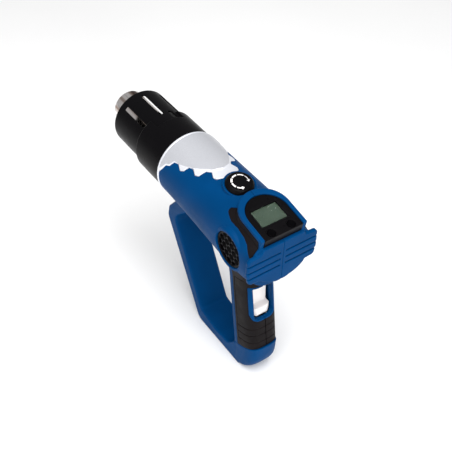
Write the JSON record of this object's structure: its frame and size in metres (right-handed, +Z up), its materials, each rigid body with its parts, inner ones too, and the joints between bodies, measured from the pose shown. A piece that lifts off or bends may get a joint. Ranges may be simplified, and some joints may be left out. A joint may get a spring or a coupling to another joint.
{
  "type": "heat gun",
  "caption": "Pistol-grip hot-air gun with an electronic temperature panel, slotted heat shield, steel nozzle and a closed guard loop that it stands on.",
  "frame": {"origin": "on the standing surface, under the middle of the bounding box", "axes": "+X along the barrel towards the nozzle, +Y to the gun's left, +Z up, standing on the flat foot of its guard loop"},
  "size_m": [0.267, 0.075, 0.2175],
  "materials": {
    "blue_housing": "satin, fine mould texture",
    "black_plastic": "satin",
    "soft_grip": "matte",
    "silver_paint": "satin silver lacquer on plastic",
    "stainless_steel": "bright, heat tinted at the mouth",
    "white_plastic": "satin",
    "circuit_board": "solder mask",
    "brass": "turned brass",
    "ceramic": "unglazed ceramic",
    "mica": "layered mica sheet",
    "clear_window": "clear",
    "lcd_glass": "grey green display",
    "zinc_plated": "zinc plated",
    "aluminium": "extruded",
    "capacitor_sleeve": "heat-shrunk sleeve",
    "brown_lead": "insulated wire",
    "blue_lead": "insulated wire",
    "red_lead": "insulated wire",
    "grey_lead": "insulated wire"
  },
  "bodies": {
    "gun": {"housing_left": "blue_housing", "housing_right": "blue_housing", "guard_loop": "blue_housing", "silver_cap": "silver_paint", "collar_ring": "silver_paint", "heat_shield": "black_plastic", "panel_bezel": "black_plastic", "vent_grille_left": "black_plastic", "vent_grille_right": "black_plastic", "air_funnel": "black_plastic", "motor_bracket": "black_plastic", "switch_body": "black_plastic", "cord_clamp": "black_plastic", "grip_rubber_left": "soft_grip", "grip_rubber_right": "soft_grip", "side_inlay_left": "soft_grip", "side_inlay_right": "soft_grip", "cord_grommet": "soft_grip", "nozzle_tube": "stainless_steel", "temperature_probe": "stainless_steel", "tube_flange": "zinc_plated", "motor": "zinc_plated", "heater_coil": "zinc_plated", "thermal_cutout": "zinc_plated", "potentiometer": "zinc_plated", "key_switch_left": "zinc_plated", "key_switch_right": "zinc_plated", "housing_screw_front": "zinc_plated", "housing_screw_middle": "zinc_plated", "housing_screw_rear": "zinc_plated", "housing_screw_grip": "zinc_plated", "housing_screw_foot": "zinc_plated", "mica_sleeve": "mica", "heater_core": "ceramic", "outlet_plate": "ceramic", "terminal_block": "white_plastic", "display_window": "clear_window", "lcd_module": "lcd_glass", "display_board": "circuit_board", "control_board": "circuit_board", "triac_heatsink": "aluminium", "transformer": "zinc_plated", "capacitor": "capacitor_sleeve", "live_lead": "brown_lead", "neutral_lead": "blue_lead", "switched_lead": "brown_lead", "heater_lead_left": "red_lead", "heater_lead_right": "grey_lead"},
    "rotor": {"fan_impeller": "black_plastic", "motor_shaft": "stainless_steel"},
    "knob": {"temperature_knob": "black_plastic", "knob_shaft": "brass"},
    "key_left": {"button_left": "black_plastic"},
    "key_right": {"button_right": "black_plastic"},
    "rocker": {"power_rocker": "white_plastic"}
  },
  "joints": [
    {"name": "rotor_spin", "type": "hinge", "parent": "gun", "child": "rotor", "pos_m": [-0.028, 0, 0.178], "axis": [1, 0, 0], "continuous": true},
    {"name": "knob_turn", "type": "hinge", "parent": "gun", "child": "knob", "pos_m": [-0.0671, 0, 0.2126], "axis": [-0.1822, 0, 0.9833], "range_deg": [-135, 135]},
    {"name": "key_left_press", "type": "slide", "parent": "gun", "child": "key_left", "axis": [0.1822, 0, -0.9833], "range_m": [0, 0.0008], "stiffness_N_per_m": 400, "springref_m": -0.001},
    {"name": "key_right_press", "type": "slide", "parent": "gun", "child": "key_right", "axis": [0.1822, 0, -0.9833], "range_m": [0, 0.0008], "stiffness_N_per_m": 400, "springref_m": -0.001},
    {"name": "rocker_tip", "type": "hinge", "parent": "gun", "child": "rocker", "pos_m": [-0.1, 0, 0.095], "axis": [0, -1, 0], "range_deg": [0, 22]}
  ]
}
